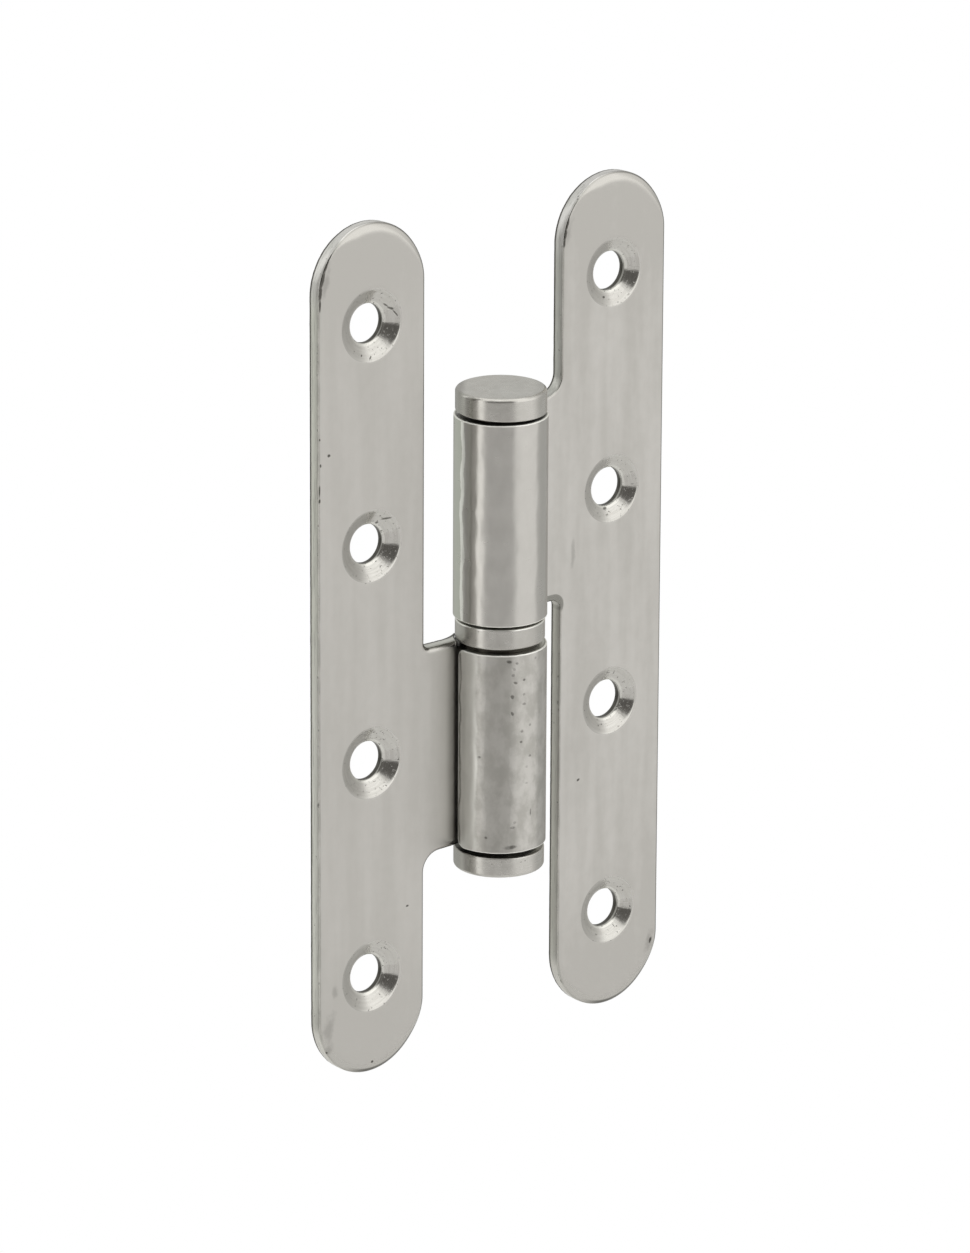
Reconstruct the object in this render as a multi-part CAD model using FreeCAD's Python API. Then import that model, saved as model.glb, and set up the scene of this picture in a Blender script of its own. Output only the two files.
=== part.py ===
import FreeCAD, Part
import math
import os

# Flag hinge with round-ended leaves, shown opened out flat, in millimetres.
# The origin is on the pin axis at the middle of the bearing ring.
# +Z runs up the pin, the countersunk faces look towards -Y,
# the lower leaf reaches to -X and the lift-off upper leaf to +X.

# Leaves, both cut from the same flat blank
LEAF_LENGTH = 140.0
LEAF_WIDTH = 21.0
SHEET = 2.5
AXIS_TO_LEAF_EDGE = 14.0
AXIS_TO_LEAF_FACE = 1.8
NOTCH_RADIUS_BY_RING = 1.4
NOTCH_RADIUS_BY_CAP = 3.2
FACE_EDGE_ROUNDING = 0.6
BACK_EDGE_ROUNDING = 0.35

# Screw holes, one line of them up the middle of each leaf
HOLE_COUNT = 4
HOLE_PITCH = 35.8
HOLE_DIAMETER = 6.4
COUNTERSINK_DIAMETER = 11.4
COUNTERSINK_ANGLE = 120.0

# Knuckles, rolled from a tab of each leaf
KNUCKLE_BORE_RADIUS = 5.0
KNUCKLE_LENGTH = 33.2
BEND_START = 9.0
SEAM_GAP = 0.3
FREE_EDGE_CORNER = 1.4
TAB_SHOULDER = 1.0
FACING_CLEARANCE = 0.15

# Pin, pressed into the lower knuckle and running in the upper one
PRESS = 0.01
RUNNING_CLEARANCE = 0.06
PIN_TOP_CLEARANCE = 2.9
PIN_TOP_DOME = 1.6
PIN_END_CHAMFER = 0.5

# Bearing ring between the knuckles
RING_HEIGHT = 4.6
RING_RIM_HEIGHT = 3.3
RING_RIM_INSET = 0.35
THRUST_FACE_INSET = 0.8
RING_BORE_CLEARANCE = 0.08
RING_EDGE_ROUNDING = 0.25

# End caps, each with a spigot pressed into its knuckle
CAP_INSET = 0.25
CAP_HEIGHT = 3.6
CAP_GAP = 0.6
CAP_EDGE_ROUNDING = 0.55
CAP_INNER_ROUNDING = 0.2
SPIGOT_DEPTH = 3.2
SPIGOT_CHAMFER = 0.4

# Sizes that follow from the ones above
knuckle_radius = KNUCKLE_BORE_RADIUS + SHEET
knuckle_near = RING_HEIGHT / 2
knuckle_far = knuckle_near + KNUCKLE_LENGTH
tab_near = knuckle_near - TAB_SHOULDER
leaf_outer_edge = AXIS_TO_LEAF_EDGE + LEAF_WIDTH
leaf_back = AXIS_TO_LEAF_FACE + SHEET
ring_radius = knuckle_radius - RING_RIM_INSET
cap_radius = knuckle_radius - CAP_INSET
spigot_end = knuckle_far - SPIGOT_DEPTH

Z_AXIS = FreeCAD.Vector(0, 0, 1)
Y_AXIS = FreeCAD.Vector(0, 1, 0)
ORIGIN = FreeCAD.Vector(0, 0, 0)


def on_circle(centre, radius, angle):
    return centre + FreeCAD.Vector(radius * math.cos(angle), radius * math.sin(angle), 0)


def line(start, end):
    return Part.LineSegment(start, end).toShape()


def arc(centre, radius, start_angle, end_angle):
    middle = (start_angle + end_angle) / 2
    return Part.Arc(
        on_circle(centre, radius, start_angle),
        on_circle(centre, radius, middle),
        on_circle(centre, radius, end_angle),
    ).toShape()


def revolved(profile):
    """Turn a closed (radius, z) outline about the pin axis."""
    points = [FreeCAD.Vector(radius, 0, z) for radius, z in profile]
    wire = Part.makePolygon(points + points[:1])
    return Part.Face(wire).revolve(ORIGIN, Z_AXIS, 360)


def circle_edges(shape, radius, z):
    """The round edges of a turned piece at one radius and height."""
    found = []
    for edge in shape.Edges:
        curve = edge.Curve
        if isinstance(curve, Part.Circle) and abs(curve.Radius - radius) < 1e-4:
            if abs(curve.Center.z - z) < 1e-4:
                found.append(edge)
    return found


def upright_arc(centre_x, centre_z, radius, start_angle, end_angle):
    """An arc in the plane of the leaf's countersunk face."""
    points = []
    for angle in (start_angle, (start_angle + end_angle) / 2, end_angle):
        points.append(FreeCAD.Vector(
            centre_x + radius * math.cos(angle),
            AXIS_TO_LEAF_FACE,
            centre_z + radius * math.sin(angle),
        ))
    return Part.Arc(points[0], points[1], points[2]).toShape()


def upright_line(x_start, z_start, x_end, z_end):
    return line(
        FreeCAD.Vector(x_start, AXIS_TO_LEAF_FACE, z_start),
        FreeCAD.Vector(x_end, AXIS_TO_LEAF_FACE, z_end),
    )


def flat_blank():
    """The flat of the lower leaf: a round-ended strip with its tab, up to where the tab bends."""
    outer = -leaf_outer_edge
    inner = -AXIS_TO_LEAF_EDGE
    middle = (outer + inner) / 2
    end_radius = LEAF_WIDTH / 2
    end_z = LEAF_LENGTH / 2 - end_radius
    tab_top = -tab_near
    tab_bottom = -knuckle_far
    top_fillet = NOTCH_RADIUS_BY_RING
    bottom_fillet = NOTCH_RADIUS_BY_CAP
    right = 0.0
    quarter = math.pi / 2
    half = math.pi
    edges = [
        upright_arc(middle, end_z, end_radius, right, half),
        upright_line(outer, end_z, outer, -end_z),
        upright_arc(middle, -end_z, end_radius, half, 2 * half),
        upright_line(inner, -end_z, inner, tab_bottom - bottom_fillet),
        upright_arc(inner + bottom_fillet, tab_bottom - bottom_fillet, bottom_fillet, half, quarter),
        upright_line(inner + bottom_fillet, tab_bottom, -BEND_START, tab_bottom),
        upright_line(-BEND_START, tab_bottom, -BEND_START, tab_top),
        upright_line(-BEND_START, tab_top, inner + top_fillet, tab_top),
        upright_arc(inner + top_fillet, tab_top + top_fillet, top_fillet, -quarter, -half),
        upright_line(inner, tab_top + top_fillet, inner, end_z),
    ]
    return Part.Face(Part.Wire(edges)).extrude(Y_AXIS * SHEET)


def rolled_tab():
    """The tab past its bend: it eases back behind the pin, then rolls round it to a free edge."""
    roll_radius = KNUCKLE_BORE_RADIUS + SHEET / 2
    mid_plane = AXIS_TO_LEAF_FACE + SHEET / 2
    # The bend's middle line leaves the flat at BEND_START and touches the roll's middle line.
    bend_radius = (BEND_START ** 2 + mid_plane ** 2 - roll_radius ** 2) / (2 * (roll_radius - mid_plane))
    between_centres = bend_radius + roll_radius
    bend_turn = math.asin(BEND_START / between_centres)
    bend_centre = FreeCAD.Vector(-BEND_START, mid_plane + bend_radius, -knuckle_far)
    roll_centre = FreeCAD.Vector(0, 0, -knuckle_far)
    face_radius = bend_radius + SHEET / 2
    back_radius = bend_radius - SHEET / 2
    # The free edge comes back round to the face of the tab and stops a seam's gap short of it.
    seam_reach = face_radius + SEAM_GAP
    seam_angle = math.acos(
        (knuckle_radius ** 2 + between_centres ** 2 - seam_reach ** 2) / (2 * knuckle_radius * between_centres)
    )
    roll_start = math.pi / 2 + bend_turn
    roll_end = roll_start + seam_angle - 2 * math.pi
    flat_end = -math.pi / 2
    bend_end = flat_end + bend_turn
    edges = [
        arc(bend_centre, face_radius, flat_end, bend_end),
        arc(roll_centre, KNUCKLE_BORE_RADIUS, roll_start, roll_end),
        line(
            on_circle(roll_centre, KNUCKLE_BORE_RADIUS, roll_end),
            on_circle(roll_centre, knuckle_radius, roll_end),
        ),
        arc(roll_centre, knuckle_radius, roll_end, roll_start),
        arc(bend_centre, back_radius, bend_end, flat_end),
        line(
            on_circle(bend_centre, back_radius, flat_end),
            on_circle(bend_centre, face_radius, flat_end),
        ),
    ]
    return Part.Face(Part.Wire(edges)).extrude(Z_AXIS * (knuckle_far - tab_near)), roll_end


def facing_cutter():
    """The cutter that faces the knuckle's end square to the pin and leaves the tab's shoulder beside it."""
    radius = knuckle_radius + FACING_CLEARANCE
    return Part.makeCylinder(radius, TAB_SHOULDER * 2, Z_AXIS * -knuckle_near, Z_AXIS)


def free_edge_corners(shape, free_angle):
    """The two short edges across the sheet at the ends of the knuckle's free edge."""
    found = []
    for edge in shape.Edges:
        middle = edge.CenterOfMass
        radius = math.hypot(middle.x, middle.y)
        turn = math.atan2(middle.y, middle.x) - free_angle
        at_end = abs(math.sin(turn / 2)) < 1e-4
        across = abs(radius - KNUCKLE_BORE_RADIUS - SHEET / 2) < 1e-4
        if at_end and across and abs(edge.Length - SHEET) < 1e-4:
            found.append(edge)
    return found


def outline_edges(shape, y):
    """The edges of the leaf's round outline that lie in one of its two faces."""
    return [
        edge for edge in shape.Edges
        if abs(edge.BoundBox.YMin - y) < 1e-4 and abs(edge.BoundBox.YMax - y) < 1e-4
    ]


def screw_cutter(x, z):
    """One countersunk hole, cut from the leaf's face."""
    hole_radius = HOLE_DIAMETER / 2
    mouth_radius = COUNTERSINK_DIAMETER / 2
    depth = (mouth_radius - hole_radius) / math.tan(math.radians(COUNTERSINK_ANGLE / 2))
    start = FreeCAD.Vector(x, AXIS_TO_LEAF_FACE, z)
    hole = Part.makeCylinder(hole_radius, SHEET * 3, start - Y_AXIS * SHEET, Y_AXIS)
    cone = Part.makeCone(mouth_radius, hole_radius, depth, start, Y_AXIS)
    return hole.fuse(cone)


def lower_leaf():
    rolled, free_angle = rolled_tab()
    leaf = flat_blank().fuse(rolled).removeSplitter()
    leaf = leaf.cut(facing_cutter())
    leaf = leaf.makeFillet(FREE_EDGE_CORNER, free_edge_corners(leaf, free_angle))
    leaf = leaf.makeFillet(BACK_EDGE_ROUNDING, outline_edges(leaf, leaf_back))
    leaf = leaf.makeFillet(FACE_EDGE_ROUNDING, outline_edges(leaf, AXIS_TO_LEAF_FACE))
    column = -(AXIS_TO_LEAF_EDGE + LEAF_WIDTH / 2)
    for index in range(HOLE_COUNT):
        height = (index - (HOLE_COUNT - 1) / 2) * HOLE_PITCH
        leaf = leaf.cut(screw_cutter(column, height))
    return leaf.Solids[0]


def upper_leaf(lower):
    """The same blank turned over end for end, so that its knuckle stands on the ring."""
    leaf = lower.copy()
    leaf.rotate(ORIGIN, Y_AXIS, 180)
    return leaf


def hinge_pin():
    """A turned pin: a press length in the lower knuckle and a slightly slimmer running length."""
    press_radius = KNUCKLE_BORE_RADIUS + PRESS
    run_radius = KNUCKLE_BORE_RADIUS - RUNNING_CLEARANCE
    bottom = -spigot_end
    step = -knuckle_near - PIN_END_CHAMFER
    top = spigot_end - PIN_TOP_CLEARANCE
    pin = revolved([
        (0, bottom),
        (press_radius - PIN_END_CHAMFER, bottom),
        (press_radius, bottom + PIN_END_CHAMFER),
        (press_radius, step),
        (run_radius, step + PIN_END_CHAMFER / 2),
        (run_radius, top),
        (0, top),
    ])
    return pin.makeFillet(PIN_TOP_DOME, circle_edges(pin, run_radius, top))


def bearing_ring():
    """A turned ring whose thrust faces stand proud of its rim and keep the knuckles apart."""
    bore_radius = KNUCKLE_BORE_RADIUS - RUNNING_CLEARANCE + RING_BORE_CLEARANCE
    half_rim = RING_RIM_HEIGHT / 2
    half_height = RING_HEIGHT / 2
    thrust_radius = ring_radius - THRUST_FACE_INSET
    ring = revolved([
        (bore_radius, -half_height),
        (thrust_radius, -half_height),
        (thrust_radius, -half_rim),
        (ring_radius, -half_rim),
        (ring_radius, half_rim),
        (thrust_radius, half_rim),
        (thrust_radius, half_height),
        (bore_radius, half_height),
    ])
    rims = circle_edges(ring, ring_radius, half_rim) + circle_edges(ring, ring_radius, -half_rim)
    return ring.makeFillet(RING_EDGE_ROUNDING, rims)


def top_cap():
    """A turned disc that closes the knuckle, with its spigot pressed into the bore."""
    spigot_radius = KNUCKLE_BORE_RADIUS + PRESS
    under = knuckle_far + CAP_GAP
    top = under + CAP_HEIGHT
    cap = revolved([
        (0, spigot_end),
        (spigot_radius - SPIGOT_CHAMFER, spigot_end),
        (spigot_radius, spigot_end + SPIGOT_CHAMFER),
        (spigot_radius, under),
        (cap_radius, under),
        (cap_radius, top),
        (0, top),
    ])
    cap = cap.makeFillet(CAP_EDGE_ROUNDING, circle_edges(cap, cap_radius, top))
    return cap.makeFillet(CAP_INNER_ROUNDING, circle_edges(cap, cap_radius, under))


def bottom_cap(top):
    """The same cap, turned over for the foot of the lower knuckle."""
    cap = top.copy()
    cap.rotate(ORIGIN, Y_AXIS, 180)
    return cap


lower = lower_leaf()
cap = top_cap()
pieces = {
    "lower_leaf": lower,
    "upper_leaf": upper_leaf(lower),
    "hinge_pin": hinge_pin(),
    "bearing_ring": bearing_ring(),
    "top_cap": cap,
    "bottom_cap": bottom_cap(cap),
}

os.makedirs("parts", exist_ok=True)
for name, shape in pieces.items():
    shape.exportStep("parts/" + name + ".step")
    print(name, round(shape.Volume, 2), "mm3", "valid" if shape.isValid() else "not valid")
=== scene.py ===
import math
import bmesh
import bpy
import numpy as np
from mathutils import Matrix, Vector
from mathutils import noise as lattice
from mathutils.geometry import delaunay_2d_cdt


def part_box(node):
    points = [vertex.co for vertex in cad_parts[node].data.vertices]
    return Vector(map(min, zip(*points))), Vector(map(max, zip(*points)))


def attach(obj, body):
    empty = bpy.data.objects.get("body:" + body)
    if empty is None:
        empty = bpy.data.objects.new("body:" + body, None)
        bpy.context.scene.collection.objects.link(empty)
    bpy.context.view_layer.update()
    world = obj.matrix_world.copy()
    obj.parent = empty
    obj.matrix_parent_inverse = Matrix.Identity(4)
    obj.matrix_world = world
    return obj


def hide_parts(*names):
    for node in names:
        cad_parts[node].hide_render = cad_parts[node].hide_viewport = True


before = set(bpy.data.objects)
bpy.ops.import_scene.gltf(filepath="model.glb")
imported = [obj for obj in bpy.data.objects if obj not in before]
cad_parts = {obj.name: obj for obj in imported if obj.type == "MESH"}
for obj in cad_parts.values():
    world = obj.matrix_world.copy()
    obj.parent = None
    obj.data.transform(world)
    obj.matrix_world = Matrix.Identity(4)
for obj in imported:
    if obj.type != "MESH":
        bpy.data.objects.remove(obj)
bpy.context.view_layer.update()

# Lower leaf
# A stamping of 2.5 mm stainless sheet with four countersunk holes and a tab. The tab eases back
# behind the pin and is rolled round it to a free edge, which makes the lower knuckle. The flat is
# screwed to the door frame. Lengths are in millimetres until the mesh is written.
MM = 0.001
SHEET = 2.5
LEAF_WIDTH = 21.0
FACE_Y = 1.8
BEND_START = 9.0
BORE_RADIUS = 5.0
KNUCKLE_NEAR = 2.3
KNUCKLE_FAR = 35.5
TAB_SHOULDER = 1.0
FACING_RADIUS = 7.25
FACING_CORNER = 0.2
SHOULDER_CORNER = 0.28
NOTCH_BY_RING = 1.4
NOTCH_BY_CAP = 3.2
FREE_CORNER = 1.4
SEAM_GAP = 0.3
FACET_DEPTH = 0.012
HOLE_PITCH = 35.8
HOLE_RADIUS = 3.2
MOUTH_RADIUS = 5.7
LIP_WIDTH = 0.26

leaf_low, leaf_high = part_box("lower_leaf")
outer_u = leaf_low.x / MM
inner_u = outer_u + LEAF_WIDTH
middle_u = outer_u + LEAF_WIDTH / 2
end_radius = LEAF_WIDTH / 2
end_v = leaf_high.z / MM - end_radius
hole_heights = [(index - 1.5) * HOLE_PITCH for index in range(4)]

# The roll, worked out as the tab's middle line: flat, bend, then round the pin.
roll_radius = BORE_RADIUS + SHEET / 2
mid_plane = FACE_Y + SHEET / 2
bend_radius = (BEND_START ** 2 + mid_plane ** 2 - roll_radius ** 2) / (2 * (roll_radius - mid_plane))
between_centres = bend_radius + roll_radius
bend_turn = math.asin(BEND_START / between_centres)
knuckle_radius = BORE_RADIUS + SHEET
seam_reach = bend_radius + SHEET / 2 + SEAM_GAP
seam_angle = math.acos(
    (knuckle_radius ** 2 + between_centres ** 2 - seam_reach ** 2) / (2 * knuckle_radius * between_centres)
)
roll_start = math.pi / 2 + bend_turn
roll_turn = 2 * math.pi - seam_angle
bend_end_u = -BEND_START + bend_turn * bend_radius
free_u = bend_end_u + roll_turn * roll_radius


def rolled(blank):
    """Where points of the flat blank (along it, up it, below its face) lie once the tab is rolled.

    The knuckle's outside keeps a facet's depth inside its true radius, and so inside the solid.
    """
    u, v, n = blank.T
    x, y = u.copy(), FACE_Y + n
    off = n - SHEET / 2
    bent = (u > -BEND_START) & (u <= bend_end_u)
    turn = (u[bent] + BEND_START) / bend_radius
    radius = bend_radius - off[bent]
    x[bent] = -BEND_START + radius * np.sin(turn)
    y[bent] = mid_plane + bend_radius - radius * np.cos(turn)
    wound = u > bend_end_u
    angle = roll_start - (u[wound] - bend_end_u) / roll_radius
    radius = np.minimum(roll_radius + off[wound], knuckle_radius - FACET_DEPTH)
    x[wound] = radius * np.cos(angle)
    y[wound] = radius * np.sin(angle)
    return np.stack([x, y, v], axis=1)


def straight(start, end, steps):
    """Outline points from start up to but without end, each with the way out of the sheet."""
    start, end = np.array(start), np.array(end)
    way = (end - start) / np.linalg.norm(end - start)
    out = (way[1], -way[0])
    return [(start + (end - start) * k / steps, out) for k in range(steps)]


def rounded(centre, radius, first, last, steps):
    """The same for an arc between two angles in degrees. A hollow corner runs clockwise."""
    side = 1.0 if last > first else -1.0
    found = []
    for k in range(steps):
        angle = math.radians(first + (last - first) * k / steps)
        ray = np.array([math.cos(angle), math.sin(angle)])
        found.append((np.array(centre) + radius * ray, side * ray))
    return found


def facing_u(depth):
    """How far along the tab the cutter that faced the knuckle's end came, at one depth of the sheet."""
    outside, inside = -BEND_START, bend_end_u
    for step in range(24):
        between = (outside + inside) / 2
        x, y = rolled(np.array([[between, 0.0, depth]]))[0][:2]
        if math.hypot(x, y) > FACING_RADIUS:
            outside = between
        else:
            inside = between
    return between


ROLL_STEPS = 112
FACED_DEPTHS = np.linspace(0, SHEET, 11)
FACED_REACH = 4.0
faced_ends = [facing_u(depth) for depth in FACED_DEPTHS]
shoulder_u = sum(faced_ends) / len(faced_ends)
tab_straight_u = free_u - FREE_CORNER


def blank_outline():
    """The whole outline of the blank, anticlockwise from the top of its outer side."""
    top, bottom = -KNUCKLE_NEAR, -KNUCKLE_FAR
    shoulder = top + TAB_SHOULDER
    ring_u, cap_u = inner_u + NOTCH_BY_RING, inner_u + NOTCH_BY_CAP
    corner, blunted = FACING_CORNER, SHOULDER_CORNER
    return (
        straight((outer_u, end_v), (outer_u, -end_v), 170)
        + rounded((middle_u, -end_v), end_radius, 180, 360, 96)
        + straight((inner_u, -end_v), (inner_u, bottom - NOTCH_BY_CAP), 30)
        + rounded((cap_u, bottom - NOTCH_BY_CAP), NOTCH_BY_CAP, 180, 90, 14)
        + straight((cap_u, bottom), (-BEND_START, bottom), 6)
        + straight((-BEND_START, bottom), (tab_straight_u, bottom), ROLL_STEPS)
        + rounded((tab_straight_u, bottom + FREE_CORNER), FREE_CORNER, -90, 0, 12)
        + straight((free_u, bottom + FREE_CORNER), (free_u, top - FREE_CORNER), 60)
        + rounded((tab_straight_u, top - FREE_CORNER), FREE_CORNER, 0, 90, 12)
        + straight((tab_straight_u, top), (shoulder_u + corner, top), ROLL_STEPS)
        + rounded((shoulder_u + corner, top + corner), corner, 270, 180, 3)
        + straight((shoulder_u, top + corner), (shoulder_u, shoulder - blunted), 2)
        + rounded((shoulder_u - blunted, shoulder - blunted), blunted, 0, 90, 6)
        + straight((shoulder_u - blunted, shoulder), (ring_u, shoulder), 18)
        + rounded((ring_u, shoulder + NOTCH_BY_RING), NOTCH_BY_RING, 270, 180, 12)
        + straight((inner_u, shoulder + NOTCH_BY_RING), (inner_u, end_v), 86)
        + rounded((middle_u, end_v), end_radius, 0, 180, 96)
    )


# The sheared edge from the face to the back: the sheet is drawn down over the rollover, cut clean
# for half its thickness, then torn, and the back corner is tumbled round.
ROLLOVER_WIDTH = 1.7
ROLLOVER_DROP = 0.55
SIDE_ROLLOVER = 0.22
TAB_ROLLOVER = 0.40
FACED_ROLLOVER = 0.08
SHOULDER_ROLLOVER = 0.62
BACK_ROUNDING = 0.35
KNUCKLE_ROUNDING = 0.2
TEAR_DEPTH = 1.55
TEAR_INSET = 0.035
ROLLOVER_ROWS = 8
ROUNDING_ROWS = 5


def sheared_rows(u, v, share, rounding):
    """(inset, depth) of each row at one outline point.

    share scales the rollover, and rounding is the radius of the back corner.
    """
    tear = TEAR_DEPTH + 0.22 * lattice.noise((u * 0.35, v * 0.35, 4.1))
    rough = TEAR_INSET * (1 + 0.9 * lattice.noise((u * 1.9, v * 1.9, 2.2)))
    rows = []
    for k in range(ROLLOVER_ROWS + 1):
        reach = k / ROLLOVER_ROWS
        rows.append(((ROLLOVER_WIDTH * (1 - reach) + 0.1) * share, ROLLOVER_DROP * share * reach ** 2.4))
    corner = rows[-1][1]
    rows += [(0.045 * share, corner + 0.055), (0.01, corner + 0.12), (0.0, corner + 0.2)]
    rows += [(0.0, (corner + 0.2 + tear) / 2), (0.0, tear - 0.08)]
    rows += [(rough * 0.6, tear + 0.05), (rough, (tear + SHEET) / 2 - 0.1)]
    for k in range(ROUNDING_ROWS + 1):
        angle = math.pi / 2 * k / ROUNDING_ROWS
        inset = rough + rounding * (1 - math.cos(angle))
        rows.append((inset, SHEET - rounding * (1 - math.sin(angle))))
    return rows


FLAT_RING = 0.5
LIP_ROWS = ((LIP_WIDTH + FLAT_RING, 0.0), (LIP_WIDTH, 0.0), (0.12, 0.010), (0.0, 0.045), (-0.12, 0.098))
CONE_SLOPE = math.tan(math.radians(30))
CONE_ROWS = 9
LAND_MIDDLE = 1.95
BACK_EASING = 0.1
HOLE_STEPS = 128


def hole_rows(mouth_radius):
    """(radius, depth) down one screw hole: softened lip, cone, land and back edge."""
    foot_radius = HOLE_RADIUS + 0.05
    rows = [(mouth_radius + out, depth) for out, depth in LIP_ROWS]
    last_radius, last_depth = rows[-1]
    for k in range(1, CONE_ROWS + 1):
        radius = last_radius + (foot_radius - last_radius) * k / CONE_ROWS
        rows.append((radius, last_depth + (last_radius - radius) * CONE_SLOPE))
    foot_depth = rows[-1][1]
    rows += [(HOLE_RADIUS + 0.012, foot_depth + 0.03), (HOLE_RADIUS, foot_depth + 0.09)]
    rows += [(HOLE_RADIUS, LAND_MIDDLE), (HOLE_RADIUS, SHEET - BACK_EASING)]
    rows += [(HOLE_RADIUS + 0.03, SHEET - 0.03), (HOLE_RADIUS + BACK_EASING, SHEET)]
    rows.append((HOLE_RADIUS + BACK_EASING + FLAT_RING, SHEET))
    return rows


def circle(centre, radius, depth, steps):
    """Points round a circle, all at one depth."""
    angles = [2 * math.pi * k / steps for k in range(steps)]
    return [(centre[0] + radius * math.cos(a), centre[1] + radius * math.sin(a), depth) for a in angles]


def band(upper, lower, count):
    """Faces between two rings of vertices, each given by its first one."""
    steps = [(k, (k + 1) % count) for k in range(count)]
    return [(upper + k, upper + after, lower + after, lower + k) for k, after in steps]


def filled(loop, holes, grid):
    """Triangles over one flat side: inside its outline, outside its holes, through the grid points."""
    points = [Vector(p) for p in loop]
    edges = [(k, (k + 1) % len(loop)) for k in range(len(loop))]
    for hole in holes:
        first = len(points)
        points += [Vector(p) for p in hole]
        edges += [(first + k, first + (k + 1) % len(hole)) for k in range(len(hole))]
    points += [Vector(p) for p in grid]
    found = delaunay_2d_cdt(points, edges, [list(range(len(loop)))], 1, 1e-6)
    place = {new: old[0] for new, old in enumerate(found[3])}
    radius = (Vector(holes[0][0]) - Vector((middle_u, hole_heights[0]))).length
    kept = []
    for face in found[2]:
        corners = [place[k] for k in face]
        centre = sum((points[k] for k in corners), Vector((0, 0))) / len(corners)
        if all((centre - Vector((middle_u, height))).length > radius for height in hole_heights):
            kept.append(corners)
    return kept


FLAT_ROWS = np.linspace(-66.0, 66.0, 45)
FLAT_COLUMNS = np.linspace(outer_u + 4.0, inner_u - 3.4, 5)
CLEAR_OF_BORDER = 1.2
CLEAR_OF_MOUTH = 1.0


def grid_points(margin):
    """Points inside one flat side: evenly over the flat, and a column for each step of the roll."""
    found = []
    for height in FLAT_ROWS:
        for u in FLAT_COLUMNS:
            past_end = max(0.0, abs(height) - end_v)
            clear_of_end = math.hypot(u - middle_u, past_end) < end_radius - margin - CLEAR_OF_BORDER
            from_hole = min(math.hypot(u - middle_u, height - hole) for hole in hole_heights)
            if clear_of_end and from_hole > MOUTH_RADIUS + CLEAR_OF_MOUTH:
                found.append((u, height))
    columns = list(np.linspace(inner_u - CLEAR_OF_BORDER, -BEND_START, 8, endpoint=False))
    columns += list(np.linspace(-BEND_START, tab_straight_u, ROLL_STEPS, endpoint=False))
    inside = margin + 0.7
    for u in columns:
        for height in np.linspace(-KNUCKLE_FAR + inside, -KNUCKLE_NEAR - inside, 25):
            found.append((u, height))
    return found


def stretches(points):
    """Which outline points lie beside the ring, in the notch by the ring, and beside the cap."""
    u, v = points.T
    beside_ring = (v > -KNUCKLE_NEAR - 0.01) & (u > inner_u + NOTCH_BY_RING)
    beside_cap = (v < -KNUCKLE_FAR + 0.01) & (u > bend_end_u)
    in_notch = np.abs(v + KNUCKLE_NEAR - TAB_SHOULDER) < NOTCH_BY_RING + 0.1
    in_notch &= (u > inner_u - 0.01) & (u < shoulder_u - 2 * SHOULDER_CORNER)
    return beside_ring, in_notch, beside_cap


def smoothly(first, last, way):
    """From first to last as way goes from 0 to 1, starting and ending gently."""
    return first + (last - first) * way ** 2 * (3 - 2 * way)


TAB_BEGINS = -12.0
TAB_BLEND = 4.0
# Levels of painted edge shade and of grime: the notch by the ring gets painted shade, and the knuckle's
# faced end a painted shadow.
NOTCH_EDGE_SHADE = 0.35
NOTCH_SHADE = 1.3
GAP_SHADOW = 2.0


def outline_wear(points, outs, turned_over):
    """How far the sheet is drawn down at each outline point, and how far edge shade and grime lie there.

    The edge shade is a painted dark line on the right and lower sides as the hinge hangs. Grime is on
    the left sides. More is laid in the notch by the ring, as painted shade, and most where the knuckle's
    faced end begins, as a painted shadow.
    """
    u, v = points.T
    beside_ring, in_notch = stretches(points)[:2]
    leftward, upward = (outs[:, 0], -outs[:, 1]) if turned_over else (-outs[:, 0], outs[:, 1])
    around_end = np.clip(np.abs(outs[:, 1]) * 1.3, 0, 1) * (np.abs(v) > end_v)
    around_end *= 1 - np.clip((leftward - 0.25) / 0.5, 0, 1) * (upward > 0)
    share = smoothly(SIDE_ROLLOVER, 1, around_end)
    share = smoothly(share, TAB_ROLLOVER, np.clip((u - TAB_BEGINS) / TAB_BLEND, 0, 1))
    share[beside_ring] = FACED_ROLLOVER
    share[in_notch] = SIDE_ROLLOVER + (SHOULDER_ROLLOVER - SIDE_ROLLOVER) * np.clip(outs[in_notch, 1], 0, 1)
    edge_shade = np.maximum(-leftward, 0) + np.maximum(-upward, 0) + 0.5 * np.maximum(upward, 0)
    edge_shade = np.clip(edge_shade, 0, 1) * np.clip(1 - 1.5 * np.maximum(leftward, 0), 0, 1)
    grime_and_shade = np.clip(leftward * 1.2, 0, 1)
    edge_shade[in_notch] = NOTCH_EDGE_SHADE
    grime_and_shade[in_notch] = NOTCH_SHADE
    grime_and_shade[beside_ring & (u > shoulder_u - 0.5) & (u < shoulder_u + 1.5)] = GAP_SHADOW
    return share, edge_shade, grime_and_shade


SHEET_SLOT, EDGE_SLOT, CONE_SLOT, ROLL_SLOT = range(4)
AWAY_FROM_BORDER = 5.0
NOTCH_SPREAD = 0.12


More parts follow.
